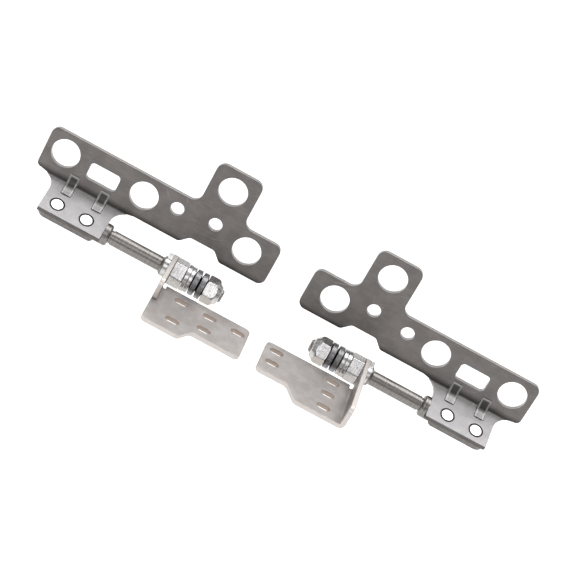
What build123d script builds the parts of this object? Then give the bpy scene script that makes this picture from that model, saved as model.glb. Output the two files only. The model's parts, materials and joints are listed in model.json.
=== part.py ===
"""A pair of laptop hinges: each a sheet lid bracket on a friction shaft held by a base bracket's ear."""

import os
from math import cos, radians, sin, sqrt, tan

from build123d import *

os.makedirs("parts", exist_ok=True)

# Sheet thicknesses and bends
base_sheet = 1.05
lid_sheet = 1.2
base_bend = 0.4
lid_bend = 0.5
edge_round = 0.15

# Hinge axis and the opened lid
axis_above_plate = 1.45
lid_angle = 63.0
lid_tilt = 19.0

# Fits and running gaps
running_fit = 0.04
seat_fit = 0.03
face_gap = 0.05

# Shaft, in order from the threaded tip outward
tip_from_middle = 10.8
tip_stand = 0.5
tip_chamfer = 0.3
journal_radius = 1.5
key_flat = 1.15
shoulder_radius = 2.2
shoulder_length = 0.7
slim_radius = 1.65
slim_length = 11.8
groove_length = 0.5
groove_depth = 0.2
collar_radius = 2.45
collar_length = 1.5
collar_round = 0.6
neck_gap = 0.15
paddle_thickness = 1.4
paddle_end_round = 2.0
paddle_neck_round = 1.0

# Friction stack, in order from the nut outward
nut_length = 3.7
nut_end_radius = 1.9
nut_end_round = 0.5
nut_cone_length = 1.5
nut_cone_round = 1.5
nut_foot_round = 0.4
nut_width = 5.5
nut_turn = 37.0
nut_corner_round = 0.25
spring_sheet = 0.55
spring_cone = 0.24
spring_radius = 3.0
spring_count = 4
thrust_thickness = 0.9
thrust_radius = 3.0
friction_thickness = 1.0
friction_radius = 3.1
hex_length = 2.9
hex_width = 5.7
hex_turn = 49.0
hex_corner_round = 0.35
peg_radius = 0.4
peg_circle = 2.2
peg_length = 0.9
stop_thickness = 0.98
stop_radius = 2.3
lug_reach = 3.2
lug_width = 2.0
lug_angle = 38.0
disc_chamfer = 0.12

# Rivets through the flange and the paddle
rivet_pitch = 7.0
rivet_offset = 0.55
rivet_radius = 1.0
rivet_head_radius = 1.4
rivet_ring = 0.25
rivet_ring_depth = 0.4
rivet_foot_radius = 1.7
rivet_foot_length = 0.5

# Lid bracket, heights along the plate are from the sharp bend line
flange_length = 14.75
flange_front = 2.85
flange_back = 6.4
flange_above_axis = 1.15
flare_radius = 3.9
flange_side_gap = 0.15
lid_inner = 4.27
band_start = 0.38
band_height = 10.18
band_inner_round = 1.8
band_outer_round = 1.1
band_outer_land = 0.1
tab_centre = 15.18
tab_width = 10.8
tab_height = 10.85
tab_round = 2.0
notch_depth = 2.0
notch_width = 9.9
notch_top_width = 5.9
notch_offset = 0.5
notch_round = 1.2
screw_hole_radius = 3.25
screw_line = 5.9
outer_hole_margin = 4.73
inner_hole_margin = 6.58
tab_hole_drop = 4.9
window_offset = 1.68
window_width = 7.1
window_height = 4.05
window_drop = 0.78
window_round = 0.9
window_to_hole = 9.54
small_hole_radius = 1.55
small_hole_pitch = 7.63
small_hole_rise = 1.04
tab_small_hole_rise = 2.02
dart_offset = 3.65
dart_width = 2.4
dart_flange_reach = 3.2
dart_plate_reach = 2.4
dart_step = 0.25
dart_land = 0.1
dart_round = 0.2
dart_recess_radius = 0.55

# Base brackets, depths are from the hinge axis toward the front
ear_head_radius = 3.3
ear_corner_round = 1.5
relief_depth = 1.3
relief_width = 0.3
plate_round = 1.2
slot_length = 3.2
slot_width = 1.7
left_plate_inner = 1.95
left_plate_front = 18.3
left_step_depth = 3.4
left_step_middle = 14.3
left_step_width = 2.0
left_plate_rear = 4.1
left_ear_front = 10.6
left_inner_slot_margin = 2.4
left_outer_slot_margin = 6.16
left_rear_slot_margin = 3.0
left_front_slot_margin = 3.8
left_narrow_slot_margin = 2.8
right_plate_inner = 2.15
right_plate_front = 18.9
right_step_depth = 4.05
right_step_middle = 10.95
right_step_width = 2.7
right_plate_rear = 4.1
right_inner_slot_margin = 2.75
right_outer_slot_margin = 5.65
right_rear_slot_margin = 2.45
right_front_slot_margin = 2.8
right_narrow_slot_margin = 3.95

# Heights and places that follow from the sizes above
axis_height = base_sheet + axis_above_plate
nut_start = tip_from_middle + tip_stand
spring_start = nut_start + nut_length
spring_step = spring_sheet + spring_cone
thrust_start = spring_start + spring_count * spring_step
friction_start = thrust_start + thrust_thickness
hex_start = friction_start + friction_thickness + face_gap
ear_inner = hex_start + hex_length
ear_outer = ear_inner + base_sheet
stop_start = ear_outer + face_gap
shoulder_start = stop_start + stop_thickness
slim_start = shoulder_start + shoulder_length
groove_start = slim_start + slim_length
collar_start = groove_start + groove_length
collar_end = collar_start + collar_length
flange_inner = collar_end + flange_side_gap
flange_outer = flange_inner + flange_length
flange_middle = (flange_inner + flange_outer) / 2
lid_outer = flange_outer + flare_radius + band_outer_land + band_outer_round
flare_width = flare_radius - sqrt(flare_radius**2 - (flare_radius - band_start) ** 2)
root_inner = flange_inner - flare_width
root_outer = flange_outer + flare_width
flange_top = flange_above_axis
paddle_top = flange_top - lid_sheet
bend_outer_radius = base_sheet + base_bend
bend_start = ear_outer - bend_outer_radius
ear_top = axis_height + ear_head_radius
rivet_middle = flange_middle + rivet_offset
rivet_places = (rivet_middle - rivet_pitch / 2, rivet_middle + rivet_pitch / 2)
neck_end = rivet_places[0] - rivet_foot_radius - neck_gap
dart_places = (flange_middle - dart_offset, flange_middle + dart_offset)
window_x = flange_middle - window_offset
tab_x = lid_inner + tab_centre
band_top = band_start + band_height
tab_top = band_top + tab_height
lid_up = (cos(radians(lid_angle)), sin(radians(lid_angle)))
lid_back = (sin(radians(lid_angle)), -cos(radians(lid_angle)))

# The hinge axis, and the frame that turns with the lid: its Y lies in the flange, its origin on the axis
hinge_axis = Axis((0, 0, axis_height), (1, 0, 0))
axis_plane = Plane(origin=(0, 0, axis_height), x_dir=(1, 0, 0), z_dir=(0, -1, 0))
lid_frame = Plane(
    origin=(0, 0, axis_height),
    x_dir=(1, 0, 0),
    z_dir=(0, -sin(radians(lid_tilt)), cos(radians(lid_tilt))),
)


def in_lid(origin, x_dir, z_dir):
    """A plane given in the lid's own frame."""
    return Plane(lid_frame * Plane(origin=origin, x_dir=x_dir, z_dir=z_dir).location)


def flange_plane(height):
    """A plane along the flange, at a height above the hinge axis."""
    return in_lid((0, 0, height), (1, 0, 0), (0, 0, 1))


def lid_cross_plane(x):
    """A plane across the hinge axis at x that turns with the lid."""
    return in_lid((x, 0, 0), (0, 1, 0), (1, 0, 0))


def cross_plane(x, z=0.0):
    """A plane across the hinge axis at x, with its own x along Y and its own y along Z."""
    return Plane(origin=(x, 0, z), x_dir=(0, 1, 0), z_dir=(1, 0, 0))


lid_plane = in_lid((0, flange_back, flange_top), (1, 0, 0), (0, -lid_back[0], -lid_back[1]))


def save(piece, name):
    """Label a finished piece and write it as its own file."""
    piece.part.label = name
    export_step(piece.part, f"parts/{name}.step")


def corner_points(corners):
    """The places of corners that are given as x, y and radius."""
    return [(x, y) for x, y, _ in corners]


def corner_radii(corners):
    """The radii of corners that are given as x, y and radius."""
    return [radius for _, _, radius in corners]


def lid_outline(side):
    """Corners of the lid plate with their radii, in the lid plane."""
    notch_x = tab_x + notch_offset
    notch_top = band_start + notch_depth
    corners = [
        (lid_inner, band_start, band_inner_round),
        (lid_inner, band_top, band_inner_round),
        (tab_x - tab_width / 2, band_top, tab_round),
        (tab_x - tab_width / 2, tab_top, tab_round),
        (tab_x + tab_width / 2, tab_top, tab_round),
        (tab_x + tab_width / 2, band_top, tab_round),
        (lid_outer, band_top, band_inner_round),
        (lid_outer, band_start, band_outer_round),
        (flange_outer + flare_radius, band_start, 0),
        (root_outer, 0, 0),
        (root_inner, 0, 0),
        (flange_inner - flare_radius, band_start, 0),
        (notch_x + notch_width / 2, band_start, notch_round),
        (notch_x + notch_top_width / 2, notch_top, notch_round),
        (notch_x - notch_top_width / 2, notch_top, notch_round),
        (notch_x - notch_width / 2, band_start, notch_round),
    ]
    return [(side * x, y, radius) for x, y, radius in corners]


def lid_plate(side):
    """The flat plate of the lid bracket with softened edges, down to the bend."""
    with BuildPart() as plate:
        with BuildSketch(lid_plane):
            corners = lid_outline(side)
            with BuildLine():
                FilletPolyline(*corner_points(corners), radius=corner_radii(corners), close=True)
            make_face()
        extrude(amount=-lid_sheet)
        plate_faces = plate.faces().sort_by(SortBy.AREA)[-2:]
        fillet(plate_faces.edges(), edge_round)
    return plate.part


def dart(x):
    """One pressed dart across the inside of the lid bend, a hollow gusset between plate and flange."""
    slope = tan(radians(lid_angle / 2))
    hollow = (dart_plate_reach - dart_step * slope - dart_land) / slope
    sunk = lid_sheet / 2
    flange_end = flange_back - dart_flange_reach
    plate_end = (flange_back + dart_plate_reach * lid_up[0], flange_top + dart_plate_reach * lid_up[1])
    section = (
        (flange_back + sunk * slope, flange_top - sunk, 0),
        (flange_end, flange_top - sunk, 0),
        (flange_end, flange_top + dart_step, 0),
        (flange_back - dart_step * slope, flange_top + dart_step, hollow),
        (plate_end[0] - dart_step * lid_back[0], plate_end[1] - dart_step * lid_back[1], 0),
        (plate_end[0] + sunk * lid_back[0], plate_end[1] + sunk * lid_back[1], 0),
    )
    with BuildPart() as gusset:
        with BuildSketch(lid_cross_plane(x)):
            with BuildLine():
                FilletPolyline(*corner_points(section), radius=corner_radii(section), close=True)
            make_face()
        extrude(amount=dart_width / 2, both=True)
        fillet(gusset.edges().filter_by(GeomType.CIRCLE), dart_round)
    return gusset.part


def rivet_plane(x):
    """A plane through a rivet's axis, with its origin where the flange lies on the paddle."""
    return in_lid((x, 0, paddle_top), (1, 0, 0), (0, -1, 0))


def lid_bracket(side, name):
    """The sheet bracket that carries the lid, with its flange turned under the plate."""
    half_turn = radians(lid_angle / 2)
    back_corner = (flange_back + lid_sheet * tan(half_turn), paddle_top)
    lap = band_start + band_height / 3
    inner_end = (flange_back + lap * lid_up[0], flange_top + lap * lid_up[1])
    outer_end = (inner_end[0] + lid_sheet * lid_back[0], inner_end[1] + lid_sheet * lid_back[1])
    inner_line = ((-flange_front, flange_top), (flange_back, flange_top), inner_end)
    outer_line = ((-flange_front, paddle_top), back_corner, outer_end)
    middle_hole_x = window_x - window_to_hole
    bend_normal = in_lid((0, 0, 0), (1, 0, 0), (0, -sin(half_turn), cos(half_turn))).z_dir
    ring_floor = lid_sheet - rivet_ring_depth
    ring_radius = rivet_radius + (rivet_head_radius - rivet_radius) * ring_floor / lid_sheet
    screw_holes = (
        (side * (lid_outer - outer_hole_margin), screw_line),
        (side * middle_hole_x, screw_line),
        (side * tab_x, tab_top - tab_hole_drop),
        (side * (lid_inner + inner_hole_margin), screw_line),
    )
    small_holes = (
        (side * (middle_hole_x - small_hole_pitch), screw_line + small_hole_rise),
        (side * tab_x, screw_line + tab_small_hole_rise),
    )
    with BuildPart() as bracket:
        with BuildSketch(lid_cross_plane(side * root_inner)):
            with BuildLine():
                FilletPolyline(*inner_line, radius=lid_bend)
                FilletPolyline(*outer_line, radius=lid_bend + lid_sheet)
                Line(inner_line[0], outer_line[0])
                Line(inner_line[-1], outer_line[-1])
            make_face()
        extrude(amount=side * (root_outer - root_inner))
        for edge_x, way in ((flange_inner, -1), (flange_outer, 1)):
            far_x = edge_x + way * 2 * flare_radius
            corners = (
                (side * edge_x, flange_back + band_start, flare_radius),
                (side * far_x, flange_back + band_start, 0),
                (side * far_x, -2 * flange_front, 0),
                (side * edge_x, -2 * flange_front, 0),
            )
            with BuildSketch(flange_plane(flange_top)):
                with BuildLine():
                    FilletPolyline(*corner_points(corners), radius=corner_radii(corners), close=True)
                make_face()
            extrude(amount=2 * lid_sheet, dir=bend_normal, both=True, mode=Mode.SUBTRACT)
        add(lid_plate(side))
        for x in dart_places:
            add(dart(side * x))
            recess_origin = (side * x, *back_corner)
            with BuildSketch(in_lid(recess_origin, (1, 0, 0), (0, cos(half_turn), sin(half_turn)))):
                Circle(dart_recess_radius)
            extrude(amount=dart_flange_reach, both=True, mode=Mode.SUBTRACT)
        with BuildSketch(lid_plane):
            with Locations(*screw_holes):
                Circle(screw_hole_radius)
            with Locations(*small_holes):
                Circle(small_hole_radius)
            with Locations((side * window_x, screw_line - window_drop)):
                RectangleRounded(window_width, window_height, window_round)
        extrude(amount=2 * lid_sheet, both=True, mode=Mode.SUBTRACT)
        for x in rivet_places:
            seat = rivet_plane(side * x)
            with BuildSketch(seat):
                with BuildLine():
                    Polyline(
                        (0, -lid_sheet),
                        (rivet_radius + seat_fit, -lid_sheet),
                        (rivet_radius + seat_fit, 0),
                        (ring_radius + seat_fit, ring_floor),
                        (rivet_head_radius + rivet_ring, ring_floor),
                        (rivet_head_radius + rivet_ring, lid_sheet),
                        (0, lid_sheet),
                        close=True,
                    )
                make_face()
            revolve(axis=Axis(seat.origin, seat.y_dir), mode=Mode.SUBTRACT)
    save(bracket, name)


def shaft_rivets(side, name):
    """The two flush rivets that hold the flange on the paddle."""
    foot = -paddle_thickness - rivet_foot_length
    with BuildPart() as rivets:
        for x in rivet_places:
            seat = rivet_plane(side * x)
            with BuildSketch(seat):
                with BuildLine():
                    Polyline(
                        (0, foot),
                        (rivet_radius, foot),
                        (rivet_foot_radius, foot + rivet_foot_length / 2),
                        (rivet_foot_radius, -paddle_thickness),
                        (rivet_radius, -paddle_thickness),
                        (rivet_radius, 0),
                        (rivet_head_radius, lid_sheet),
                        (0, lid_sheet),
                        close=True,
                    )
                make_face()
            revolve(axis=Axis(seat.origin, seat.y_dir))
    save(rivets, name)


def hinge_shaft(side, name):
    """The shaft: threaded tip, keyed length, journal, shoulder, slim length, collar and flat paddle."""
    turned = (
        (tip_from_middle, 0, 0),
        (tip_from_middle, journal_radius - tip_chamfer, 0),
        (tip_from_middle + tip_chamfer, journal_radius, 0),
        (shoulder_start, journal_radius, 0),
        (shoulder_start, shoulder_radius, 0),
        (shoulder_start + shoulder_length / 3, shoulder_radius, 0),
        (slim_start, slim_radius, 0),
        (groove_start, slim_radius, 0),
        (groove_start, slim_radius - groove_depth, 0),
        (collar_start, slim_radius - groove_depth, 0),
        (collar_start, collar_radius, collar_round),
        (neck_end, collar_radius, 0),
        (neck_end, 0, 0),
    )
    flat_middle = (spring_start + hex_start) / 2
    flat_length = hex_start - spring_start
    paddle_start = collar_end + collar_length
    paddle = (
        (paddle_start, -flange_front, paddle_neck_round),
        (flange_outer, -flange_front, paddle_end_round),
        (flange_outer, flange_front, paddle_end_round),
        (paddle_start, flange_front, paddle_neck_round),
    )
    with BuildPart() as shaft:
        with BuildSketch(axis_plane):
            corners = [(side * x, radius, corner_round) for x, radius, corner_round in turned]
            with BuildLine():
                FilletPolyline(*corner_points(corners), radius=corner_radii(corners), close=True)
            make_face()
        revolve(axis=hinge_axis)
        with BuildSketch(flange_plane(0)):
            for way in (-1, 1):
                with Locations((side * flat_middle, way * (key_flat + journal_radius / 2))):
                    Rectangle(flat_length, journal_radius)
        extrude(amount=2 * journal_radius, both=True, mode=Mode.SUBTRACT)
        with BuildSketch(flange_plane(paddle_top)):
            with Locations((side * neck_end, 0)):
                Rectangle(2 * (neck_end - collar_end), 4 * collar_radius)
        extrude(amount=2 * collar_radius, mode=Mode.SUBTRACT)
        with BuildSketch(flange_plane(paddle_top)):
            corners = [(side * x, y, radius) for x, y, radius in paddle]
            with BuildLine():
                FilletPolyline(*corner_points(corners), radius=corner_radii(corners), close=True)
            make_face()
            with Locations(*[(side * x, 0) for x in rivet_places]):
                Circle(rivet_radius + seat_fit, mode=Mode.SUBTRACT)
        extrude(amount=-paddle_thickness)
    save(shaft, name)


def keyed_disc(side, start, thickness, radius, name):
    """A flat disc with softened rims that turns with the shaft's two flats."""
    with BuildPart() as disc:
        with BuildSketch(lid_cross_plane(side * start)):
            Circle(radius)
        extrude(amount=side * thickness)
        chamfer(disc.edges(), disc_chamfer)
        with BuildSketch(lid_cross_plane(side * start)):
            Circle(journal_radius + seat_fit)
            Rectangle(2 * (key_flat + seat_fit), 4 * journal_radius, mode=Mode.INTERSECT)
        extrude(amount=side * thickness, mode=Mode.SUBTRACT)
    save(disc, name)


def spring_washer(side, index, name):
    """One coned washer; every second one is turned round, so that they meet rim to rim and bore to bore."""
    start = spring_start + index * spring_step
    bore = journal_radius + running_fit
    bore_shift, rim_shift = (0, spring_cone) if index % 2 == 0 else (spring_cone, 0)
    section = (
        (start + bore_shift, bore),
        (start + bore_shift + spring_sheet, bore),
        (start + rim_shift + spring_sheet, spring_radius),
        (start + rim_shift, spring_radius),
    )
    with BuildPart() as washer:
        with BuildSketch(axis_plane):
            with BuildLine():
                Polyline(*[(side * x, radius) for x, radius in section], close=True)
            make_face()
        revolve(axis=hinge_axis)
    save(washer, name)


def lock_nut(side, name):
    """The nut that loads the springs: a hexagon turned down to a rounded cone on the tip side."""
    nut_end = nut_start + nut_length
    corner_reach = nut_width / 2 / cos(radians(30))
    turned = (
        (nut_start, 0, 0),
        (nut_start, nut_end_radius, nut_end_round),
        (nut_start + nut_cone_length, corner_reach, nut_cone_round),
        (nut_end, corner_reach, nut_foot_round),
        (nut_end, 0, 0),
    )
    with BuildPart() as nut:
        with BuildSketch(lid_cross_plane(side * nut_start)):
            hexagon = RegularPolygon(nut_width / 2, 6, major_radius=False, rotation=nut_turn)
            fillet(hexagon.vertices(), nut_corner_round)
        extrude(amount=side * nut_length)
        with BuildSketch(axis_plane):
            corners = [(side * x, radius, corner_round) for x, radius, corner_round in turned]
            with BuildLine():
                FilletPolyline(*corner_points(corners), radius=corner_radii(corners), close=True)
            make_face()
        revolve(axis=hinge_axis, mode=Mode.INTERSECT)
        with BuildSketch(lid_cross_plane(side * nut_start)):
            Circle(journal_radius + seat_fit)
        extrude(amount=side * nut_length, mode=Mode.SUBTRACT)
    save(nut, name)


def hex_collar(side, name):
    """The fixed hexagonal friction piece, held from turning by two pegs in the ear."""
    with BuildPart() as collar:
        with BuildSketch(cross_plane(side * hex_start, axis_height)):
            hexagon = RegularPolygon(hex_width / 2, 6, major_radius=False, rotation=hex_turn)
            fillet(hexagon.vertices(), hex_corner_round)
        extrude(amount=side * hex_length)
        chamfer(collar.faces().filter_by(Axis.X).edges(), disc_chamfer)
        with BuildSketch(cross_plane(side * hex_start, axis_height)):
            Circle(journal_radius + running_fit)
        extrude(amount=side * hex_length, mode=Mode.SUBTRACT)
        with BuildSketch(cross_plane(side * ear_inner, axis_height)):
            with Locations((peg_circle, 0), (-peg_circle, 0)):
                Circle(peg_radius)
        extrude(amount=side * peg_length)
    save(collar, name)


def stop_washer(side, name):
    """The washer beside the ear, with the lug that limits the turn."""
    with BuildPart() as washer:
        with BuildSketch(lid_cross_plane(side * stop_start)):
            Circle(stop_radius)
            with Locations(Location((0, 0), lug_angle)):
                Rectangle(lug_reach, lug_width, align=(Align.MIN, Align.CENTER))
            Circle(journal_radius + seat_fit, mode=Mode.SUBTRACT)
        extrude(amount=side * stop_thickness)
    save(washer, name)


def ear(side, ear_front):
    """The upright ear of a base bracket, with the shaft's bore and the two peg holes."""
    with BuildPart() as upright:
        with BuildSketch(cross_plane(side * ear_inner)) as outline:
            with Locations((-ear_front, bend_outer_radius)):
                Rectangle(ear_front, ear_top - bend_outer_radius, align=Align.MIN)
            with Locations((0, axis_height)):
                Circle(ear_head_radius)
            front_vertices = outline.vertices().sort_by(Axis.X)[:2]
            fillet(front_vertices.sort_by(Axis.Y)[-1], ear_corner_round)
        extrude(amount=side * base_sheet)
        top_edges = upright.edges().filter_by(Axis.Y).group_by(Axis.Z)[-1]
        fillet(top_edges, edge_round)
        with BuildSketch(cross_plane(side * ear_inner, axis_height)):
            Circle(journal_radius + running_fit)
            with Locations((peg_circle, 0), (-peg_circle, 0)):
                Circle(peg_radius + seat_fit)
        extrude(amount=side * base_sheet, mode=Mode.SUBTRACT)
    return upright.part


def base_bracket(side, outline, slots, ear_front, plate_rear, name):
    """The thick bracket for the case: a flat slotted plate with an ear turned up at its outer end."""
    ear_rear = plate_rear + relief_depth
    lap = relief_width + base_bend
    leg = bend_outer_radius + lap
    inner_line = [(bend_start - lap, base_sheet), (ear_inner, base_sheet), (ear_inner, leg)]
    outer_line = [(bend_start - lap, 0), (ear_outer, 0), (ear_outer, leg)]
    inner_line = [(side * x, z) for x, z in inner_line]
    outer_line = [(side * x, z) for x, z in outer_line]
    with BuildPart() as bracket:
        with BuildSketch():
            corners = [(side * x, -depth, radius) for x, depth, radius in outline]
            with BuildLine():
                FilletPolyline(*corner_points(corners), radius=corner_radii(corners), close=True)
            make_face()
        extrude(amount=base_sheet)
        fillet(bracket.faces().sort_by(Axis.Z)[-1].edges(), edge_round)
        with BuildSketch(Plane.XZ.offset(ear_rear)):
            with BuildLine():
                FilletPolyline(*inner_line, radius=base_bend)
                FilletPolyline(*outer_line, radius=bend_outer_radius)
                Line(inner_line[0], outer_line[0])
                Line(inner_line[-1], outer_line[-1])
            make_face()
        extrude(amount=ear_front - ear_rear)
        add(ear(side, ear_front))
        with BuildSketch():
            with Locations(*[(side * x, -depth) for x, depth in slots]):
                SlotOverall(slot_length, slot_width)
        extrude(amount=base_sheet, mode=Mode.SUBTRACT)
    save(bracket, name)


def plate_outline(inner, front, step_depth, step_middle, step_width, rear, ear_corners):
    """Corners of a base plate with their radii, as distances from the middle and depths from the axis."""
    narrow = front - step_depth
    return [
        (inner, narrow, plate_round),
        (step_middle - step_width / 2, narrow, plate_round),
        (step_middle + step_width / 2, front, plate_round),
        *ear_corners,
        (bend_start, rear + relief_depth, 0),
        (bend_start - relief_width, rear + relief_depth, 0),
        (bend_start - relief_width, rear, 0),
        (inner, rear, plate_round),
    ]


def left_base_bracket():
    """The left bracket: a short ear behind the plate's full-width front, and five slots."""
    ear_corners = (
        (ear_outer, left_plate_front, plate_round),
        (ear_outer, left_ear_front, 0),
        (bend_start, left_ear_front, 0),
    )
    outline = plate_outline(
        left_plate_inner,
        left_plate_front,
        left_step_depth,
        left_step_middle,
        left_step_width,
        left_plate_rear,
        ear_corners,
    )
    outer_x = ear_outer - left_outer_slot_margin
    inner_x = left_plate_inner + left_inner_slot_margin
    middle_x = (outer_x + inner_x) / 2
    rear_row = left_plate_rear + left_rear_slot_margin
    slots = (
        (outer_x, rear_row),
        (middle_x, rear_row),
        (inner_x, rear_row),
        (outer_x, left_plate_front - left_front_slot_margin),
        (middle_x, left_plate_front - left_step_depth - left_narrow_slot_margin),
    )
    base_bracket(-1, outline, slots, left_ear_front, left_plate_rear, "left_base_bracket")


def right_base_bracket():
    """The right bracket: an ear along its whole end, flush with the plate's front, and five slots."""
    outline = plate_outline(
        right_plate_inner,
        right_plate_front,
        right_step_depth,
        right_step_middle,
        right_step_width,
        right_plate_rear,
        ((bend_start, right_plate_front, 0),),
    )
    outer_x = ear_outer - right_outer_slot_margin
    inner_x = right_plate_inner + right_inner_slot_margin
    rear_row = right_plate_rear + right_rear_slot_margin
    front_row = right_plate_front - right_front_slot_margin
    slots = (
        (inner_x, rear_row),
        (inner_x, right_plate_front - right_step_depth - right_narrow_slot_margin),
        (outer_x, rear_row),
        (outer_x, (rear_row + front_row) / 2),
        (outer_x, front_row),
    )
    base_bracket(1, outline, slots, right_plate_front, right_plate_rear, "right_base_bracket")


for hand, side in (("left", -1), ("right", 1)):
    lid_bracket(side, f"{hand}_lid_bracket")
    hinge_shaft(side, f"{hand}_hinge_shaft")
    shaft_rivets(side, f"{hand}_shaft_rivets")
    stop_washer(side, f"{hand}_stop_washer")
    hex_collar(side, f"{hand}_hex_collar")
    keyed_disc(side, friction_start, friction_thickness, friction_radius, f"{hand}_friction_disc")
    keyed_disc(side, thrust_start, thrust_thickness, thrust_radius, f"{hand}_thrust_washer")
    for index in range(spring_count):
        spring_washer(side, index, f"{hand}_spring_washer_{index + 1}")
    lock_nut(side, f"{hand}_lock_nut")
left_base_bracket()
right_base_bracket()
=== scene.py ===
"""Finishes, light and camera for a mirrored pair of laptop hinges, laid out as an add-on."""

import json
import math

import bpy
from bpy.props import FloatProperty, FloatVectorProperty, PointerProperty
from mathutils import Matrix, Vector


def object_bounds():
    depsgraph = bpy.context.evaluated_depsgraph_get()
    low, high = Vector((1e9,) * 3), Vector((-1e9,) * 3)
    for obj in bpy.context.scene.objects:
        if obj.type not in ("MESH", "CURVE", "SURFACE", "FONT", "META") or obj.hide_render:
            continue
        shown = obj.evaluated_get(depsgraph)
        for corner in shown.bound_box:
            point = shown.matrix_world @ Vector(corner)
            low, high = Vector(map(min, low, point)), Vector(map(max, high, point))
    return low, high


bl_info = {
    "name": "Laptop Hinge Pair",
    "version": (1, 0, 0),
    "blender": (4, 5, 0),
    "location": "View3D > Sidebar > Hinges",
    "description": "Dresses a pair of friction hinges in their steels and sets the studio around them",
    "category": "Object",
}

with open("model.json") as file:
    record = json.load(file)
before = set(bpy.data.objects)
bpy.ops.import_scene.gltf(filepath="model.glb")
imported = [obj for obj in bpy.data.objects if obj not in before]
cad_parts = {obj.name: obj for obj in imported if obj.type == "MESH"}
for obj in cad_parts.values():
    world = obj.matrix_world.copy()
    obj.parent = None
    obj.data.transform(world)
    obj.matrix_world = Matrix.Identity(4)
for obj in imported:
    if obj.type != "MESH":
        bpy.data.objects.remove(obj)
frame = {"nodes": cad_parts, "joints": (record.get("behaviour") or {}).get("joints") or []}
CAD_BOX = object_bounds()
HANDS = ("left", "right")
SPRINGS = ("spring_washer_1", "spring_washer_2", "spring_washer_3", "spring_washer_4")
BRIGHT = ("stop_washer", "hex_collar", "friction_disc", "thrust_washer", "lock_nut")

# Directions, and points and lengths in metres, that the finishes take from the hinges' shape.
ORIGIN = (0.0, 0.0, 0.0)
EVEN = (1.0, 1.0, 1.0)
UP = (0.0, 0.0, 1.0)
DOWN = (0.0, 0.0, -1.0)
HINGE_AXIS = (1.0, 0.0, 0.0)
AXIS_HEIGHT = frame["joints"][0]["pos_m"][2]
LID_TILT = math.radians(82)
LID_PLATE_NORMAL = (0.0, -math.sin(LID_TILT), math.cos(LID_TILT))
LID_PLATE_UP = (0.0, math.cos(LID_TILT), math.sin(LID_TILT))
LID_BEND = (0.0, 0.0056769, 0.0056710)
FLANGE_TILT = math.radians(19)
FLANGE_NORMAL = (0.0, -math.sin(FLANGE_TILT), math.cos(FLANGE_TILT))
FLANGE_BACK = (0.0, math.cos(FLANGE_TILT), math.sin(FLANGE_TILT))
RIVET_PLACES = (0.044165, 0.051165)
RIVET_LINE = (0.0, 0.0000163, 0.0024527)
# Inside this radius the lid sheet around a rivet is painted dark, as painted shade in the gap of the
# rivet's ring.
RIVET_SEAT = 0.0017
RIVET_SEAT_FADE = 0.00004
# Beyond this radius the rivet is painted dark, as painted shade in the gap around its head.
RIVET_BRIGHT = 0.00122
DART_PLACES = (0.043465, 0.050765)
DART_HALF_WIDTH = 0.0012
DART_RIM = 0.0003
DART_TOP = 0.0024
DART_FOOT = -0.0015
MARK_FADE = 0.0001
EAR_INSIDE = 0.0216
EAR_FADE = 0.0004
EAR_FOOT = 0.0005
BASE_SHEET = 0.00105

# Stretches in metres over which a mask rises or falls.
PLATE_START = (-0.0006, 0.0003)
INNER_SIDE = (-0.0003, -0.0001)
BEND_SHADE = (0.0002, 0.0018)
DART_MIDDLE = (0.0001, 0.0007)
FLANGE_FRONT = (-0.0036, -0.0032)
WIDE_FRONT = (-0.0176, -0.0172)
NARROW_FRONT = (-0.0143, -0.0139)
PLATE_STEP = (0.0156, 0.0160)
PADDLE_START = (0.0400, 0.0412)
# the spring washers' outer rims, where a painted highlight is laid
SPRING_RIM = (0.00285, 0.00299)

# Levels between which a face's turn or a noise passes from one tone to the other.
EDGE_TURN = (0.25, 0.75)
FRONT_TURN = (0.4, 0.8)
# how far a bright part's face turns down before painted shade is laid on it
UNDERSIDE_SHADE_TURN = (0.1, 0.6)
WIDE_LEVELS = (0.25, 0.75)
SOFT_LEVELS = (0.3, 0.7)
FIRM_LEVELS = (0.35, 0.65)
COARSE_LEVELS = (0.35, 0.68)
PATCH_LEVELS = (0.35, 0.6)
SPECK_LEVELS = (0.53, 0.62)
SCRATCH_LEVELS = (0.72, 0.78)

# Noises: scale per metre, detail and roughness.
GRAIN_NOISE = (2600, 4, 0.65)
MOTTLE_NOISE = (330, 3, 0.6)
PIT_NOISE = (5200, 2, 0.5)
SCRATCH_NOISE = (1900, 1, 0.4)
FLOOR_NOISE = (4, 2, 0.55)
RING_SCALE = 5200
RING_DETAIL = 3
GRAIN_SHARE = 0.7
PIT_SHARE = 0.3
SCRATCH_WAYS = ((0.35, (0.05, 1.0, 1.0)), (-0.9, (0.06, 1.0, 1.0)))

# The darkest and lightest tone of each grain, as factors of the finish's colour.
TONES = {
    "plate_mottle": (0.82, 1.16),
    "plate_grain": (0.75, 1.25),
    "flange_mottle": (0.88, 1.1),
    "flange_grain": (0.84, 1.16),
    # painted shade on the flange's upright front faces, over their real grain
    "flange_front": (0.5, 0.85),
    "shaft_grain": (0.75, 1.25),
    "shaft_rings": (0.7, 1.3),
    # painted shade on the flat paddle
    "paddle": (0.6, 0.85),
    "base_grain": (0.86, 1.14),
    "bright_rings": (0.82, 1.12),
    "spring_grain": (0.65, 1.5),
    "rivet_mottle": (0.9, 1.05),
    "floor": (0.99, 1.01),
}
BASE_WARM = (0.9, 0.86, 0.83)
BASE_PALE = 1.12
# Painted shade: the warm beige laid on the bright parts' downward faces.
UNDERSIDE_SHADE_COLOUR = (0.40, 0.365, 0.315)

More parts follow.
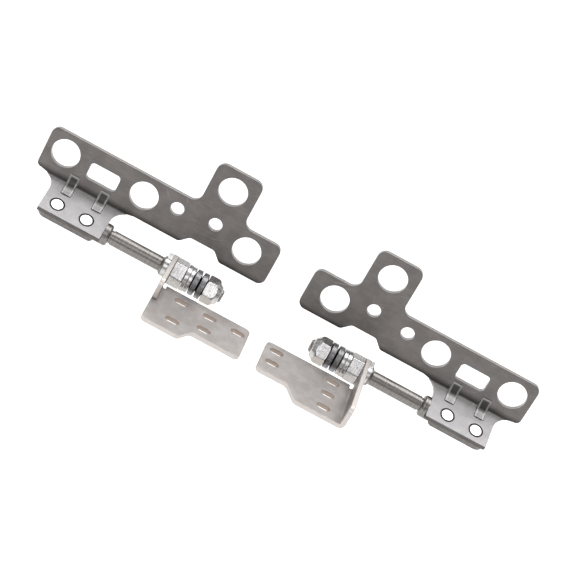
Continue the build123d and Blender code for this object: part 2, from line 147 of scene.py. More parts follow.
# Each mark's strength, and its tone as a factor of the colour that it is painted in.
MARKS = {
    "plate_scratch": (1.0, 1.9),
    "bend_shade": (0.8, 0.15),
    # painted highlight on the darts' rims
    "dart_rim_highlight": (0.75, 1.5),
    # painted shade in the darts' hollows
    "dart_hollow_shade": (0.7, 0.35),
    "cut_edge": (0.85, 1.0),
    # painted shade around the rivets
    "rivet_seat_shade": (1.0, 0.25),
    "base_scratch": (1.0, 0.75),
    # painted highlight along the base plates' rims
    "base_rim_highlight": (3.0, 1.5),
    "bright_speck": (0.75, 0.4),
    # painted highlight on the spring washers' rims
    "spring_rim_highlight": (1.0, 1.7),
    # painted shade at the rivets' rims
    "rivet_rim_shade": (1.0, 0.12),
}
HALF = 0.5
BASE_GRAIN_SHARE = 0.4
CUT_METALLIC = 0.35

# Each finish's plain roughness, its roughness over the grain, and its relief's strength and depth.
SURFACES = {
    "shaft_steel": (0.3, (0.28, 0.4), (0.15, 0.00003)),
    "base_sheet": (0.48, (0.42, 0.54), (0.12, 0.00004)),
    "bright_steel": (0.2, (0.2, 0.34), (0.1, 0.00003)),
    "spring_steel": (0.3, (0.32, 0.46), (0.2, 0.00003)),
    "rivet_steel": (0.34, (0.28, 0.4), (0.15, 0.00003)),
}
LID_SMOOTHER = 0.07
LID_ROUGHER = 0.09
LID_RELIEF = (0.18, 0.00004)
LID_STRETCH = (0.16, 1.0, 1.0)
SHAFT_STRETCH = (0.5, 1.0, 1.0)
BASE_STRETCH = (0.3, 1.0, 1.0)
SHAFT_PITCH = 0.6
BRIGHT_PITCH = 0.8
SPRING_PITCH = 1.0
LID_SCRATCHES = 0.3
BASE_SCRATCHES = 0.25

# The studio: the floor, the room's two colours, the lights' places and sizes, and the camera.
FLOOR_SIZE = 8.0
FLOOR_ROUGHNESS = 0.8
FLOOR_SPECULAR = 0.1
ROOM_FRONT = (0.42, 0.41, 0.4)
ROOM_BACK = (1.0, 0.99, 0.98)
ROOM_TURN = (-0.8, 0.8)
OVERHEAD_PLACE = (0.03, 0.27, 0.8)
OVERHEAD_SIZE = (0.9, 0.75)
FRONT_PLACE = (-0.12, -0.6, 0.5)
FRONT_SIZE = (0.5, 0.4)
SENSOR_WIDTH = 36.0
NEAR_CLIP = 0.01
TINY = 1e-6

# The colour mix node's sockets by number, since its sockets share their names.
MIX_FACTOR = 0
MIX_FIRST = 6
MIX_SECOND = 7
MIX_RESULT = 2


class HingeFinishSettings(bpy.types.PropertyGroup):
    """Colours and gloss of the hinges' steels."""

    lid_colour: FloatVectorProperty(
        name="Lid sheet",
        description="Colour of the lid brackets' rolled sheet",
        subtype="COLOR",
        default=(0.176, 0.164, 0.159),
        min=0,
        max=1,
    )
    # Painted light: the flanges are the same sheet as the plates, painted in a paler copy of its colour
    # where they face up into the light.
    flange_lit_colour: FloatVectorProperty(
        name="Flange",
        description="Colour of the lid brackets' flanges, worn paler than the plates",
        subtype="COLOR",
        default=(0.245, 0.238, 0.244),
        min=0,
        max=1,
    )
    cut_colour: FloatVectorProperty(
        name="Cut edges",
        description="Colour of the lid brackets' sheared edges and hole walls",
        subtype="COLOR",
        default=(0.40, 0.39, 0.385),
        min=0,
        max=1,
    )
    lid_roughness: FloatProperty(
        name="Lid roughness",
        description="Roughness of the lid brackets' faces",
        subtype="FACTOR",
        default=0.40,
        min=0,
        max=1,
    )
    shaft_colour: FloatVectorProperty(
        name="Shaft",
        description="Colour of the turned shafts",
        subtype="COLOR",
        default=(0.235, 0.222, 0.212),
        min=0,
        max=1,
    )
    base_colour: FloatVectorProperty(
        name="Base sheet",
        description="Colour of the base brackets' satin sheet",
        subtype="COLOR",
        default=(0.375, 0.358, 0.350),
        min=0,
        max=1,
    )
    # The cut front and ear edges are painted beige and much paler than the sheet: partly the cut steel's
    # own colour, partly painted light where they face the light.
    front_colour: FloatVectorProperty(
        name="Front edge",
        description="Colour of the base plates' cut front edges",
        subtype="COLOR",
        default=(0.66, 0.615, 0.59),
        min=0,
        max=1,
    )
    # Painted shade: the slots' walls in dark brown, for the shade down inside the slots.
    slot_shade_colour: FloatVectorProperty(
        name="Slot walls",
        description="Colour inside the base plates' slots",
        subtype="COLOR",
        default=(0.36, 0.30, 0.26),
        min=0,
        max=1,
    )
    bright_colour: FloatVectorProperty(
        name="Bright steel",
        description="Colour of the plated nut, collar and washers",
        subtype="COLOR",
        default=(0.63, 0.625, 0.63),
        min=0,
        max=1,
    )
    spring_colour: FloatVectorProperty(
        name="Spring steel",
        description="Colour of the dark spring washers",
        subtype="COLOR",
        default=(0.175, 0.173, 0.180),
        min=0,
        max=1,
    )
    rivet_colour: FloatVectorProperty(
        name="Rivets",
        description="Colour of the bright rivet heads",
        subtype="COLOR",
        default=(0.92, 0.92, 0.915),
        min=0,
        max=1,
    )


class HingeStageSettings(bpy.types.PropertyGroup):
    """The floor, the lights and the camera."""

    floor_drop: FloatProperty(
        name="Floor drop",
        description="How far the floor lies below the hinges' lowest point",
        unit="LENGTH",
        default=0.022,
        min=0,
    )
    floor_colour: FloatVectorProperty(
        name="Floor",
        description="Colour of the pale floor",
        subtype="COLOR",
        default=(0.75, 0.75, 0.75),
        min=0,
        max=1,
    )
    overhead_power: FloatProperty(
        name="Overhead power",
        description="Power of the large light above the hinges",
        unit="POWER",
        default=6.2,
        min=0,
    )
    front_power: FloatProperty(
        name="Front power",
        description="Power of the soft light above the camera",
        unit="POWER",
        default=0.95,
        min=0,
    )
    floor_glow: FloatProperty(
        name="Floor glow",
        description="Light that the pale floor gives by itself, so that its shadows stay faint",
        default=0.62,
        min=0,
    )
    world_strength: FloatProperty(
        name="Room light",
        description="Strength of the pale room around the stage",
        default=0.8,
        min=0,
    )
    camera_eye: FloatVectorProperty(
        name="Camera",
        description="Where the camera stands",
        subtype="TRANSLATION",
        unit="LENGTH",
        default=(-0.019738, -0.324990, 0.218541),
    )
    camera_target: FloatVectorProperty(
        name="Target",
        description="The point that the camera looks at",
        subtype="TRANSLATION",
        unit="LENGTH",
        default=(0.001208, 0.011838, 0.005),
    )
    camera_roll: FloatProperty(
        name="Roll",
        description="Turn of the camera about its line of sight",
        subtype="ANGLE",
        default=math.radians(-30.342),
    )
    focal_length: FloatProperty(
        name="Focal length",
        description="Focal length for a 36 mm wide sensor",
        unit="CAMERA",
        default=113.35,
        min=1,
    )


def feed(tree, socket, value):
    """Set a socket to a plain value, or link another node's output to it."""
    if isinstance(value, (int, float, tuple)):
        socket.default_value = value
    else:
        tree.links.new(value, socket)


def math_node(tree, operation, *values):
    """A math node fed by sockets or plain values; returns its result."""
    node = tree.nodes.new("ShaderNodeMath")
    node.operation = operation
    for socket, value in zip(node.inputs, values):
        feed(tree, socket, value)
    return node.outputs[0]


def vector_node(tree, operation, first, second):
    """A vector math node; returns its vector, or the value of a dot product."""
    node = tree.nodes.new("ShaderNodeVectorMath")
    node.operation = operation
    feed(tree, node.inputs[0], first)
    feed(tree, node.inputs[1], second)
    return node.outputs["Value" if operation == "DOT_PRODUCT" else "Vector"]


def times(tree, first, *others):
    """The product of a value and the others, in their order."""
    product = first
    for value in others:
        product = math_node(tree, "MULTIPLY", product, value)
    return product


def opposite(tree, mask):
    """A mask turned over."""
    return math_node(tree, "SUBTRACT", 1.0, mask)


def split(tree, vector):
    """A vector's parts X, Y and Z."""
    node = tree.nodes.new("ShaderNodeSeparateXYZ")
    tree.links.new(vector, node.inputs[0])
    return node.outputs


def hypotenuse(tree, first, second):
    """The length that two lengths at right angles make."""
    squares = [math_node(tree, "POWER", value, 2) for value in (first, second)]
    return math_node(tree, "SQRT", math_node(tree, "ADD", *squares))


def aside(tree, vector, places):
    """How far a point lies, along the hinge axis, from the nearer of two places on its own hinge."""
    along = math_node(tree, "ABSOLUTE", split(tree, vector)["X"])
    gaps = [math_node(tree, "ABSOLUTE", math_node(tree, "SUBTRACT", along, place)) for place in places]
    return math_node(tree, "MINIMUM", *gaps)


def ramp(tree, value, low, high, out_low=0.0, out_high=1.0):
    """A smooth step of a value between two levels."""
    node = tree.nodes.new("ShaderNodeMapRange")
    node.interpolation_type = "SMOOTHSTEP"
    node.inputs["From Min"].default_value = low
    node.inputs["From Max"].default_value = high
    node.inputs["To Min"].default_value = out_low
    node.inputs["To Max"].default_value = out_high
    tree.links.new(value, node.inputs["Value"])
    return node.outputs["Result"]


def fall(tree, value, low, high):
    """A smooth step down, from one to nothing."""
    return ramp(tree, value, low, high, 1.0, 0.0)


def noise(tree, vector, scale, detail, roughness):
    """A noise texture on a vector; returns its value."""
    node = tree.nodes.new("ShaderNodeTexNoise")
    node.inputs["Scale"].default_value = scale
    node.inputs["Detail"].default_value = detail
    node.inputs["Roughness"].default_value = roughness
    tree.links.new(vector, node.inputs["Vector"])
    return node.outputs["Fac"]


def mix_colour(tree, factor, first, second):
    """A colour mix of two sockets or colours by a factor."""
    node = tree.nodes.new("ShaderNodeMix")
    node.data_type = "RGBA"
    feed(tree, node.inputs[MIX_FACTOR], factor)
    for place, colour in ((MIX_FIRST, first), (MIX_SECOND, second)):
        opaque = (*colour, 1.0) if isinstance(colour, tuple) else colour
        feed(tree, node.inputs[place], opaque)
    return node.outputs[MIX_RESULT]


def scaled(colour, factor):
    """A colour made lighter or darker by a factor."""
    return tuple(min(1.0, channel * factor) for channel in colour)


def toned(tree, value, levels, colour, tone):
    """A colour that passes from its dark to its light tone as a value passes through its levels."""
    dark, light = TONES[tone]
    return mix_colour(tree, ramp(tree, value, *levels), scaled(colour, dark), scaled(colour, light))


def marked(tree, under, mask, colour, mark):
    """A finish with a mark painted over it where the mask is set."""
    strength, tone = MARKS[mark]
    return mix_colour(tree, times(tree, mask, strength), under, scaled(colour, tone))


def node_group(name, inputs, outputs):
    """A new shader group with named inputs and outputs; returns it and its two ends."""
    group = bpy.data.node_groups.new(name, "ShaderNodeTree")
    for socket_name, default in inputs.items():
        kind = "NodeSocketVector" if isinstance(default, tuple) else "NodeSocketFloat"
        socket = group.interface.new_socket(socket_name, in_out="INPUT", socket_type=kind)
        socket.default_value = default
    for socket_name in outputs:
        group.interface.new_socket(socket_name, in_out="OUTPUT", socket_type="NodeSocketFloat")
    into = group.nodes.new("NodeGroupInput")
    out = group.nodes.new("NodeGroupOutput")
    return group, into.outputs, out.inputs


def deliver(group, out, **results):
    """Link a group's results to its outputs of the same names."""
    for name, result in results.items():
        group.links.new(result, out[name])


def rolled_grain_group():
    """Fine grain drawn out along one direction, with a soft mottling over it."""
    group, into, out = node_group(
        "rolled_grain",
        {"Vector": ORIGIN, "Stretch": EVEN},
        ("Grain", "Mottle", "Height"),
    )
    stretched = vector_node(group, "MULTIPLY", into["Vector"], into["Stretch"])
    grain = noise(group, stretched, *GRAIN_NOISE)
    mottle = noise(group, into["Vector"], *MOTTLE_NOISE)
    pits = noise(group, into["Vector"], *PIT_NOISE)
    height = math_node(group, "ADD", times(group, grain, GRAIN_SHARE), times(group, pits, PIT_SHARE))
    deliver(group, out, Grain=grain, Mottle=mottle, Height=height)


def sheared_edge_group():
    """A mask for the cut edges of a sheet, from how far a face turns from the sheet's own normal."""
    group, into, out = node_group("sheared_edge", {"Normal": UP, "Sheet Normal": UP}, ("Edge",))
    across = vector_node(group, "DOT_PRODUCT", into["Normal"], into["Sheet Normal"])
    facing = math_node(group, "ABSOLUTE", across)
    deliver(group, out, Edge=fall(group, facing, *EDGE_TURN))


def lid_regions_group():
    """Height above the lid's bend, and masks for its inner side, plate, bend shade and flange front."""
    group, into, out = node_group(
        "lid_regions",
        {"Vector": ORIGIN, "Normal": UP},
        ("Height", "Inner", "Plate", "Bend", "Front"),
    )
    away = vector_node(group, "SUBTRACT", into["Vector"], LID_BEND)
    height = vector_node(group, "DOT_PRODUCT", away, LID_PLATE_UP)
    plate = ramp(group, height, *PLATE_START)
    before = vector_node(group, "DOT_PRODUCT", away, LID_PLATE_NORMAL)
    over = vector_node(group, "DOT_PRODUCT", away, FLANGE_NORMAL)
    inner = ramp(group, math_node(group, "MINIMUM", before, over), *INNER_SIDE)
    shade = times(group, inner, fall(group, height, *BEND_SHADE))
    lying = vector_node(group, "DOT_PRODUCT", into["Normal"], FLANGE_NORMAL)
    upright = fall(group, lying, *FRONT_TURN)
    front = times(group, fall(group, height, *FLANGE_FRONT), upright)
    bend = times(group, plate, shade)
    deliver(group, out, Height=height, Inner=inner, Plate=plate, Bend=bend, Front=front)


def rivet_distance_group():
    """The distance from the nearer rivet's axis."""
    group, into, out = node_group("rivet_distance", {"Vector": ORIGIN}, ("Distance",))
    away = vector_node(group, "SUBTRACT", into["Vector"], RIVET_LINE)
    depth = vector_node(group, "DOT_PRODUCT", away, FLANGE_BACK)
    nearer = aside(group, into["Vector"], RIVET_PLACES)
    deliver(group, out, Distance=hypotenuse(group, nearer, depth))


def darts_group():
    """Masks for the rim of the two pressed darts, where a painted highlight is laid, and for the hollow
    in their middle, where painted shade is laid.
    """
    group, into, out = node_group(
        "darts",
        {"Vector": ORIGIN, "Height": 0.0, "Inner": 1.0},
        ("Rim", "Hollow"),
    )
    nearer = aside(group, into["Vector"], DART_PLACES)
    height = into["Height"]
    inside = fall(group, nearer, DART_HALF_WIDTH, DART_HALF_WIDTH + MARK_FADE)
    below = fall(group, height, DART_TOP, DART_TOP + MARK_FADE)
    above = ramp(group, height, DART_FOOT - MARK_FADE, DART_FOOT)
    dart = times(group, inside, times(group, below, above, into["Inner"]))
    sides = ramp(group, nearer, DART_HALF_WIDTH - 2 * DART_RIM, DART_HALF_WIDTH - DART_RIM)
    top = ramp(group, height, DART_TOP - 2 * DART_RIM, DART_TOP - DART_RIM)
    rim = math_node(group, "MAXIMUM", sides, top)
    hollow = times(group, ramp(group, height, *DART_MIDDLE), opposite(group, rim))
    deliver(group, out, Rim=times(group, dart, rim), Hollow=times(group, dart, hollow))


def base_regions_group():
    """Masks for the base bracket: its plate's cut front edge, the slots' walls and the raised ear."""
    group, into, out = node_group(
        "base_regions",
        {"Vector": ORIGIN, "Edge": 0.0},
        ("Front", "Slots", "Ear"),
    )
    parts = split(group, into["Vector"])
    along = math_node(group, "ABSOLUTE", parts["X"])
    wide = fall(group, parts["Y"], *WIDE_FRONT)
    narrow = times(group, fall(group, parts["Y"], *NARROW_FRONT), fall(group, along, *PLATE_STEP))
    front = math_node(group, "MAXIMUM", wide, narrow)
    outside = ramp(group, along, EAR_INSIDE - EAR_FADE, EAR_INSIDE)
    inside = opposite(group, math_node(group, "MAXIMUM", front, outside))
    ear = times(group, outside, ramp(group, parts["Z"], BASE_SHEET, BASE_SHEET + EAR_FOOT))
    cut = times(group, front, into["Edge"])
    deliver(group, out, Front=cut, Slots=times(group, inside, into["Edge"]), Ear=ear)


def scratches_group():
    """Sparse fine scratches in two directions."""
    group, into, out = node_group("scratches", {"Vector": ORIGIN, "Amount": HALF}, ("Mask",))
    lines = []
    for turn, stretch in SCRATCH_WAYS:
        rotate = group.nodes.new("ShaderNodeVectorRotate")
        rotate.rotation_type = "Y_AXIS"
        rotate.inputs["Angle"].default_value = turn
        group.links.new(into["Vector"], rotate.inputs["Vector"])
        drawn = vector_node(group, "MULTIPLY", rotate.outputs[0], stretch)
        lines.append(ramp(group, noise(group, drawn, *SCRATCH_NOISE), *SCRATCH_LEVELS))
    either = math_node(group, "MAXIMUM", *lines)
    deliver(group, out, Mask=times(group, either, into["Amount"]))


def turned_group():
    """Fine rings of a lathe tool, the distance from the hinge axis and the place along it."""
    group, into, out = node_group(
        "turned",
        {"Vector": ORIGIN, "Pitch": 1.0},
        ("Rings", "Radius", "Along"),
    )
    parts = split(group, into["Vector"])
    rise = math_node(group, "SUBTRACT", parts["Z"], AXIS_HEIGHT)
    rings = group.nodes.new("ShaderNodeTexNoise")
    rings.noise_dimensions = "1D"
    rings.inputs["Scale"].default_value = RING_SCALE
    rings.inputs["Detail"].default_value = RING_DETAIL
    group.links.new(times(group, parts["X"], into["Pitch"]), rings.inputs["W"])
    radius = hypotenuse(group, parts["Y"], rise)
    along = math_node(group, "ABSOLUTE", parts["X"])
    deliver(group, out, Rings=rings.outputs["Fac"], Radius=radius, Along=along)


def new_steel(name, roughness, metallic=1.0):
    """A material with one shader and the object's own coordinates; returns what a finish needs of it."""
    material = bpy.data.materials.new(name)
    material.use_nodes = True
    tree = material.node_tree
    tree.nodes.clear()
    shader = tree.nodes.new("ShaderNodeBsdfPrincipled")
    shader.inputs["Metallic"].default_value = metallic
    shader.inputs["Roughness"].default_value = roughness
    output = tree.nodes.new("ShaderNodeOutputMaterial")
    tree.links.new(shader.outputs["BSDF"], output.inputs["Surface"])
    place = tree.nodes.new("ShaderNodeTexCoord")
    return material, tree, shader, place.outputs


def use_group(tree, group_name, **values):
    """Place a shared group in a material and set or link its inputs; returns its outputs."""
    node = tree.nodes.new("ShaderNodeGroup")
    node.node_tree = bpy.data.node_groups[group_name]
    for key, value in values.items():
        feed(tree, node.inputs[key.replace("_", " ")], value)
    return node.outputs


def coat(tree, shader, colour, roughness, height, relief):
    """Feed a finish's colour, its roughness and the relief of a height into its shader."""
    strength, depth = relief
    tree.links.new(colour, shader.inputs["Base Color"])
    tree.links.new(roughness, shader.inputs["Roughness"])
    bump = tree.nodes.new("ShaderNodeBump")
    bump.inputs["Strength"].default_value = strength
    bump.inputs["Distance"].default_value = depth
    tree.links.new(height, bump.inputs["Height"])
    tree.links.new(bump.outputs["Normal"], shader.inputs["Normal"])


def dress(names, material):
    """Give both hinges' nodes of these names a finish."""
    for hand in HANDS:
        for name in names:
            mesh = frame["nodes"][f"{hand}_{name}"].data
            mesh.materials.clear()
            mesh.materials.append(material)


def lid_sheet_material(finish):
    """Rolled dark sheet: drawn grain, a flange painted paler as painted light, painted shade beside the
    bend, painted highlights on the dart rims and painted shade in their hollows, pale cut edges, and
    painted shade on the rivet seats and flange front.
    """
    material, tree, shader, place = new_steel("lid_sheet", finish.lid_roughness)
    where = place["Object"]
    facing = place["Normal"]
    grain = use_group(tree, "rolled_grain", Vector=where, Stretch=LID_STRETCH)
    edge = use_group(tree, "sheared_edge", Normal=facing, Sheet_Normal=LID_PLATE_NORMAL)
    regions = use_group(tree, "lid_regions", Vector=where, Normal=facing)
    darts = use_group(tree, "darts", Vector=where, Height=regions["Height"], Inner=regions["Inner"])
    rivets = use_group(tree, "rivet_distance", Vector=where)
    lines = use_group(tree, "scratches", Vector=where, Amount=LID_SCRATCHES)
    colour = tuple(finish.lid_colour)
    flange = tuple(finish.flange_lit_colour)
    mottled = toned(tree, grain["Mottle"], COARSE_LEVELS, colour, "plate_mottle")
    grained = toned(tree, grain["Grain"], SOFT_LEVELS, colour, "plate_grain")
    plate = mix_colour(tree, HALF, mottled, grained)
    scratched = marked(tree, plate, lines["Mask"], colour, "plate_scratch")
    shaded = marked(tree, scratched, regions["Bend"], colour, "bend_shade")
    # Painted light: the flange in a paler copy of the sheet's colour, with the plate's own mottle and
    # grain.
    lit = toned(tree, grain["Mottle"], COARSE_LEVELS, flange, "flange_mottle")
    lit_grained = toned(tree, grain["Grain"], SOFT_LEVELS, flange, "flange_grain")
    lying = mix_colour(tree, HALF, lit, lit_grained)
    both = mix_colour(tree, regions["Plate"], lying, shaded)
    # Painted highlight on the darts' rims in a lighter tone of the flange, then painted shade in their
    # hollows.
    rimmed = marked(tree, both, darts["Rim"], flange, "dart_rim_highlight")
    hollowed = marked(tree, rimmed, darts["Hollow"], colour, "dart_hollow_shade")
    cut = times(tree, edge["Edge"], regions["Plate"])
    edged = marked(tree, hollowed, cut, finish.cut_colour, "cut_edge")
    # Painted shade: the flange's upright front faces in a dark tone of the plate's colour, streaked by
    # its real grain.
    front_shade = toned(tree, grain["Grain"], FIRM_LEVELS, colour, "flange_front")
    fronted = mix_colour(tree, regions["Front"], edged, front_shade)
    # Painted shade: the lid sheet around each rivet, down in the gap of its ring, painted dark.
    seat_shade = fall(tree, rivets["Distance"], RIVET_SEAT, RIVET_SEAT + RIVET_SEAT_FADE)
    seated = marked(tree, fronted, seat_shade, colour, "rivet_seat_shade")
    smooth = finish.lid_roughness - LID_SMOOTHER
    rough = finish.lid_roughness + LID_ROUGHER
    roughness = ramp(tree, grain["Grain"], *WIDE_LEVELS, smooth, rough)
    coat(tree, shader, seated, roughness, grain["Height"], LID_RELIEF)
    return material


def shaft_steel_material(finish):
    """Turned steel with fine rings and blotches, painted darker on the flat paddle as painted shade."""
    plain, rough, relief = SURFACES["shaft_steel"]
    material, tree, shader, place = new_steel("shaft_steel", plain)
    turned = use_group(tree, "turned", Vector=place["Object"], Pitch=SHAFT_PITCH)
    grain = use_group(tree, "rolled_grain", Vector=place["Object"], Stretch=SHAFT_STRETCH)
    colour = tuple(finish.shaft_colour)
    blotched = toned(tree, grain["Grain"], SOFT_LEVELS, colour, "shaft_grain")
    ringed = toned(tree, turned["Rings"], SOFT_LEVELS, colour, "shaft_rings")
    body = mix_colour(tree, HALF, blotched, ringed)
    # Painted shade: the flat paddle in a darker tone of the shaft's colour.
    paddle_shade = toned(tree, grain["Grain"], FIRM_LEVELS, colour, "paddle")
    paddled = mix_colour(tree, ramp(tree, turned["Along"], *PADDLE_START), body, paddle_shade)
    roughness = ramp(tree, grain["Grain"], *WIDE_LEVELS, *rough)
    coat(tree, shader, paddled, roughness, turned["Rings"], relief)
    return material


def base_sheet_material(finish):
    """Satin plated sheet: soft warm mottling, a painted highlight along the rims, beige cut edges that
    are partly painted light, and painted shade on the slot walls.
    """
    plain, rough, relief = SURFACES["base_sheet"]
    material, tree, shader, place = new_steel("base_sheet", plain)
    where = place["Object"]
    facing = place["Normal"]
    grain = use_group(tree, "rolled_grain", Vector=where, Stretch=BASE_STRETCH)
    edge = use_group(tree, "sheared_edge", Normal=facing, Sheet_Normal=UP)
    regions = use_group(tree, "base_regions", Vector=where, Edge=edge["Edge"])
    ear_edge = use_group(tree, "sheared_edge", Normal=facing, Sheet_Normal=HINGE_AXIS)
    lines = use_group(tree, "scratches", Vector=where, Amount=BASE_SCRATCHES)
    colour = tuple(finish.base_colour)
    front_colour = tuple(finish.front_colour)
    warm = tuple(channel * share for channel, share in zip(colour, BASE_WARM))
    coarse = ramp(tree, grain["Mottle"], *FIRM_LEVELS)
    mottled = mix_colour(tree, coarse, warm, scaled(colour, BASE_PALE))
    grained = toned(tree, grain["Grain"], SOFT_LEVELS, colour, "base_grain")
    face = mix_colour(tree, BASE_GRAIN_SHARE, mottled, grained)
    scratched = marked(tree, face, lines["Mask"], colour, "base_scratch")
    # Cut front and ear edges, painted pale beige: partly the cut steel's own colour, partly painted
    # light.
    ear_cut = times(tree, regions["Ear"], ear_edge["Edge"])
    cut = math_node(tree, "MAXIMUM", regions["Front"], ear_cut)
    fronted = mix_colour(tree, cut, scratched, front_colour)
    # Painted shade on the slots' walls.
    slot_shaded = mix_colour(tree, regions["Slots"], fronted, tuple(finish.slot_shade_colour))
    # Painted highlight: a pale line on the rounded rims between the top face and the cut edges.
    rim = times(tree, edge["Edge"], opposite(tree, edge["Edge"]))
    rimmed = marked(tree, slot_shaded, rim, front_colour, "base_rim_highlight")
    tree.links.new(ramp(tree, cut, 0.0, 1.0, 1.0, CUT_METALLIC), shader.inputs["Metallic"])
    roughness = ramp(tree, grain["Grain"], *WIDE_LEVELS, *rough)
    coat(tree, shader, rimmed, roughness, grain["Height"], relief)
    return material


def bright_steel_material(finish):
    """Bright plating over turned steel, with faint rings and specks, and the lower faces painted warm
    beige as painted shade.
    """
    plain, rough, relief = SURFACES["bright_steel"]
    material, tree, shader, place = new_steel("bright_steel", plain)
    turned = use_group(tree, "turned", Vector=place["Object"], Pitch=BRIGHT_PITCH)
    grain = use_group(tree, "rolled_grain", Vector=place["Object"], Stretch=EVEN)
    colour = tuple(finish.bright_colour)
    ringed = toned(tree, turned["Rings"], SOFT_LEVELS, colour, "bright_rings")
    specks = ramp(tree, grain["Grain"], *SPECK_LEVELS)
    specked = marked(tree, ringed, specks, colour, "bright_speck")
    # Painted shade: faces turned down are painted warm beige.
    lower = vector_node(tree, "DOT_PRODUCT", place["Normal"], DOWN)
    underside_shaded = mix_colour(tree, ramp(tree, lower, *UNDERSIDE_SHADE_TURN), specked, UNDERSIDE_SHADE_COLOUR)
    roughness = ramp(tree, grain["Mottle"], *SOFT_LEVELS, *rough)
    coat(tree, shader, underside_shaded, roughness, turned["Rings"], relief)
    return material


def spring_steel_material(finish):
    """Dark oiled spring steel, with a painted highlight in patches along the rims."""
    plain, rough, relief = SURFACES["spring_steel"]
    material, tree, shader, place = new_steel("spring_steel", plain)
    turned = use_group(tree, "turned", Vector=place["Object"], Pitch=SPRING_PITCH)
    grain = use_group(tree, "rolled_grain", Vector=place["Object"], Stretch=EVEN)
    colour = tuple(finish.spring_colour)
    oiled = toned(tree, grain["Grain"], SOFT_LEVELS, colour, "spring_grain")
    # Painted highlight: patches along the washers' outer rims in a lighter tone of their colour.
    patches = ramp(tree, grain["Grain"], *PATCH_LEVELS)
    rim = times(tree, ramp(tree, turned["Radius"], *SPRING_RIM), patches)
    rimmed = marked(tree, oiled, rim, colour, "spring_rim_highlight")
    roughness = ramp(tree, grain["Grain"], *WIDE_LEVELS, *rough)
    coat(tree, shader, rimmed, roughness, grain["Height"], relief)
    return material


def rivet_steel_material(finish):
    """Bright pressed rivet heads with a faint texture, painted dark beyond the head as painted shade in
    the ring's gap.
    """
    plain, rough, relief = SURFACES["rivet_steel"]
    material, tree, shader, place = new_steel("rivet_steel", plain)
    grain = use_group(tree, "rolled_grain", Vector=place["Object"], Stretch=EVEN)
    rivets = use_group(tree, "rivet_distance", Vector=place["Object"])
    colour = tuple(finish.rivet_colour)
    face = toned(tree, grain["Mottle"], SOFT_LEVELS, colour, "rivet_mottle")
    # Painted shade: beyond the bright head the rivet is painted dark.
    rim = ramp(tree, rivets["Distance"], RIVET_BRIGHT, RIVET_BRIGHT + MARK_FADE)
    rimmed = marked(tree, face, rim, colour, "rivet_rim_shade")
    roughness = ramp(tree, grain["Grain"], *WIDE_LEVELS, *rough)
    coat(tree, shader, rimmed, roughness, grain["Height"], relief)
    return material


class HINGE_OT_shared_effects(bpy.types.Operator):
    """Build the node groups that the steels share"""

    bl_idname = "hinge.shared_effects"
    bl_label = "Shared effects"

    def execute(self, context):
        rolled_grain_group()
        sheared_edge_group()
        lid_regions_group()
        rivet_distance_group()
        darts_group()
        base_regions_group()
        scratches_group()
        turned_group()
        return {"FINISHED"}


class HINGE_OT_lid_brackets(bpy.types.Operator):
    """Finish the two lid brackets in rolled dark sheet"""

    bl_idname = "hinge.lid_brackets"
    bl_label = "Lid brackets"

    def execute(self, context):
        dress(("lid_bracket",), lid_sheet_material(context.scene.hinge_finish))
        return {"FINISHED"}


class HINGE_OT_shafts(bpy.types.Operator):
    """Finish the two shafts in turned steel"""

    bl_idname = "hinge.shafts"
    bl_label = "Shafts"

    def execute(self, context):
        dress(("hinge_shaft",), shaft_steel_material(context.scene.hinge_finish))
        return {"FINISHED"}


class HINGE_OT_base_brackets(bpy.types.Operator):
    """Finish the two base brackets in satin sheet"""

    bl_idname = "hinge.base_brackets"
    bl_label = "Base brackets"

    def execute(self, context):
        dress(("base_bracket",), base_sheet_material(context.scene.hinge_finish))
        return {"FINISHED"}


class HINGE_OT_bright_stack(bpy.types.Operator):
    """Finish the nuts, collars and washers in bright plating"""

    bl_idname = "hinge.bright_stack"
    bl_label = "Bright stack"

    def execute(self, context):
        dress(BRIGHT, bright_steel_material(context.scene.hinge_finish))
        return {"FINISHED"}


class HINGE_OT_spring_washers(bpy.types.Operator):
    """Finish the spring washers in dark oiled steel"""

    bl_idname = "hinge.spring_washers"
    bl_label = "Spring washers"

    def execute(self, context):
        dress(SPRINGS, spring_steel_material(context.scene.hinge_finish))
        return {"FINISHED"}


class HINGE_OT_rivets(bpy.types.Operator):
    """Finish the rivets in bright steel"""

    bl_idname = "hinge.rivets"
    bl_label = "Rivets"

    def execute(self, context):
        dress(("shaft_rivets",), rivet_steel_material(context.scene.hinge_finish))
        return {"FINISHED"}


def aimed(eye, target, roll=0.0):
    """The matrix of a camera or a light that stands at one point and faces another."""
    forward = (target - eye).normalized()
    right = forward.cross(Vector(UP))
    if right.length < TINY:
        right = Vector(HINGE_AXIS)
    right.normalize()
    up = right.cross(forward)
    turned_up = up * math.cos(roll) + right * math.sin(roll)
    turned_right = forward.cross(turned_up)
    turn = Matrix((turned_right, turned_up, -forward)).transposed()
    return Matrix.Translation(eye) @ turn.to_4x4()


def soft_light(name, eye, size, power):
    """A rectangular studio light that faces the hinges."""
    light = bpy.data.lights.new(name, "AREA")
    light.shape = "RECTANGLE"
    light.size, light.size_y = size
    light.energy = power
    lamp = bpy.data.objects.new(name, light)
    bpy.context.scene.collection.objects.link(lamp)
    lamp.matrix_world = aimed(Vector(eye), Vector(ORIGIN))


def room(strength):
    """A pale room, brighter behind the hinges than in front of them."""
    world = bpy.data.worlds.new("pale_room")
    world.use_nodes = True
    tree = world.node_tree
    background = next(node for node in tree.nodes if node.type == "BACKGROUND")
    place = tree.nodes.new("ShaderNodeTexCoord")
    back = ramp(tree, split(tree, place.outputs["Generated"])["Y"], *ROOM_TURN)
    tree.links.new(mix_colour(tree, back, ROOM_FRONT, ROOM_BACK), background.inputs["Color"])
    background.inputs["Strength"].default_value = strength
    bpy.context.scene.world = world


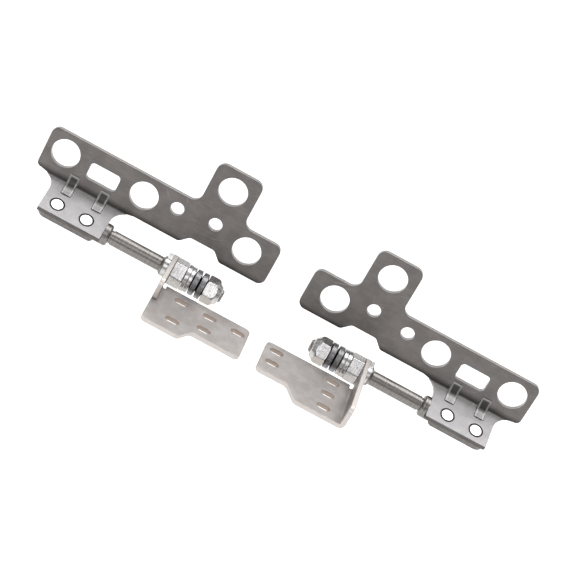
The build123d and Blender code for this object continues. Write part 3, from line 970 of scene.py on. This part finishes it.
def floor_material(stage):
    """Pale paper that glows a little by itself."""
    material, tree, shader, place = new_steel("pale_floor", FLOOR_ROUGHNESS, metallic=0.0)
    dark, light = (scaled(stage.floor_colour, tone) for tone in TONES["floor"])
    pale = mix_colour(tree, noise(tree, place["Object"], *FLOOR_NOISE), dark, light)
    tree.links.new(pale, shader.inputs["Base Color"])
    tree.links.new(pale, shader.inputs["Emission Color"])
    shader.inputs["Emission Strength"].default_value = stage.floor_glow
    shader.inputs["Specular IOR Level"].default_value = FLOOR_SPECULAR
    return material


def photo_camera(stage):
    """The camera that stands where the photograph was taken from."""
    camera = bpy.data.cameras.new("photo_camera")
    camera.lens = stage.focal_length
    camera.sensor_width = SENSOR_WIDTH
    camera.clip_start = NEAR_CLIP
    eye = bpy.data.objects.new("photo_camera", camera)
    bpy.context.scene.collection.objects.link(eye)
    eye.matrix_world = aimed(Vector(stage.camera_eye), Vector(stage.camera_target), stage.camera_roll)
    return eye


class HINGE_OT_stage(bpy.types.Operator):
    """Lay the pale floor, set the soft lights and place the camera"""

    bl_idname = "hinge.stage"
    bl_label = "Stage"

    def execute(self, context):
        stage = context.scene.hinge_stage
        bpy.ops.object.select_all(action="DESELECT")
        height = CAD_BOX[0][2] - stage.floor_drop
        bpy.ops.mesh.primitive_plane_add(size=FLOOR_SIZE, location=(0, 0, height))
        floor = context.active_object
        floor.name = "floor"
        floor.data.materials.append(floor_material(stage))
        room(stage.world_strength)
        soft_light("overhead", OVERHEAD_PLACE, OVERHEAD_SIZE, stage.overhead_power)
        soft_light("front", FRONT_PLACE, FRONT_SIZE, stage.front_power)
        context.scene.camera = photo_camera(stage)
        context.scene.view_settings.view_transform = "Standard"
        return {"FINISHED"}


class HINGE_PT_panel(bpy.types.Panel):
    """Sidebar panel with the hinges' finishes and stage"""

    bl_idname = "HINGE_PT_panel"
    bl_label = "Laptop Hinge Pair"
    bl_space_type = "VIEW_3D"
    bl_region_type = "UI"
    bl_category = "Hinges"

    def draw(self, context):
        for settings in (context.scene.hinge_finish, context.scene.hinge_stage):
            box = self.layout.box()
            for name in settings.bl_rna.properties.keys():
                if name not in ("rna_type", "name"):
                    box.prop(settings, name)
        for operator in OPERATORS:
            self.layout.operator(operator.bl_idname)


OPERATORS = (
    HINGE_OT_shared_effects,
    HINGE_OT_lid_brackets,
    HINGE_OT_shafts,
    HINGE_OT_base_brackets,
    HINGE_OT_bright_stack,
    HINGE_OT_spring_washers,
    HINGE_OT_rivets,
    HINGE_OT_stage,
)
CLASSES = (HingeFinishSettings, HingeStageSettings, *OPERATORS, HINGE_PT_panel)


def register():
    """Register the classes and hang the settings on the scene."""
    for cls in CLASSES:
        bpy.utils.register_class(cls)
    bpy.types.Scene.hinge_finish = PointerProperty(type=HingeFinishSettings)
    bpy.types.Scene.hinge_stage = PointerProperty(type=HingeStageSettings)


def unregister():
    """Take the settings and the classes away again."""
    del bpy.types.Scene.hinge_stage
    del bpy.types.Scene.hinge_finish
    for cls in reversed(CLASSES):
        bpy.utils.unregister_class(cls)


def main():
    """Dress the hinges and set the stage."""
    register()
    bpy.ops.hinge.shared_effects()
    bpy.ops.hinge.lid_brackets()
    bpy.ops.hinge.shafts()
    bpy.ops.hinge.base_brackets()
    bpy.ops.hinge.bright_stack()
    bpy.ops.hinge.spring_washers()
    bpy.ops.hinge.rivets()
    bpy.ops.hinge.stage()


if __name__ == "__main__":
    main()
